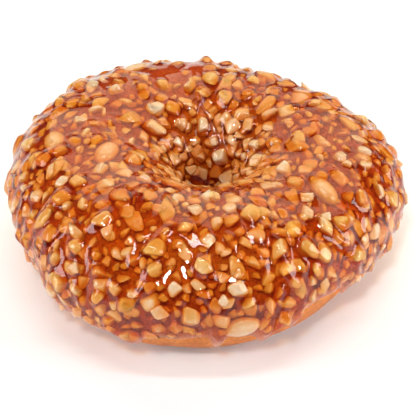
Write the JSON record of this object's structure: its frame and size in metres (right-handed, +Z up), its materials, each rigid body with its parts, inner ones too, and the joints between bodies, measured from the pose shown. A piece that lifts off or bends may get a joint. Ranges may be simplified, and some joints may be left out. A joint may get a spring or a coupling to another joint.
{
  "type": "ring doughnut",
  "caption": "Fried ring doughnut with a nearly closed hole, its top and side under a thick glossy coat of caramel full of chopped peanuts.",
  "frame": {"origin": "centre of the doughnut's outline, on the surface that it rests on", "axes": "+Z up through the hole, -Y towards the side that the picture shows in front, +X to the right of that view"},
  "size_m": [0.1027, 0.0982, 0.0375],
  "materials": {
    "dough": "fried dough, golden tan near the coat and browner towards the base, finely wrinkled, slightly greasy",
    "caramel": "clear red-brown caramel, wet gloss, deep in the hollows and thin over the nuts",
    "nuts": "chopped roasted peanuts, pale gold where they stand out, orange under the caramel, glazed"
  },
  "bodies": {
    "root": {"dough_ring": "dough", "caramel_nut_coat": "caramel"}
  },
  "joints": []
}
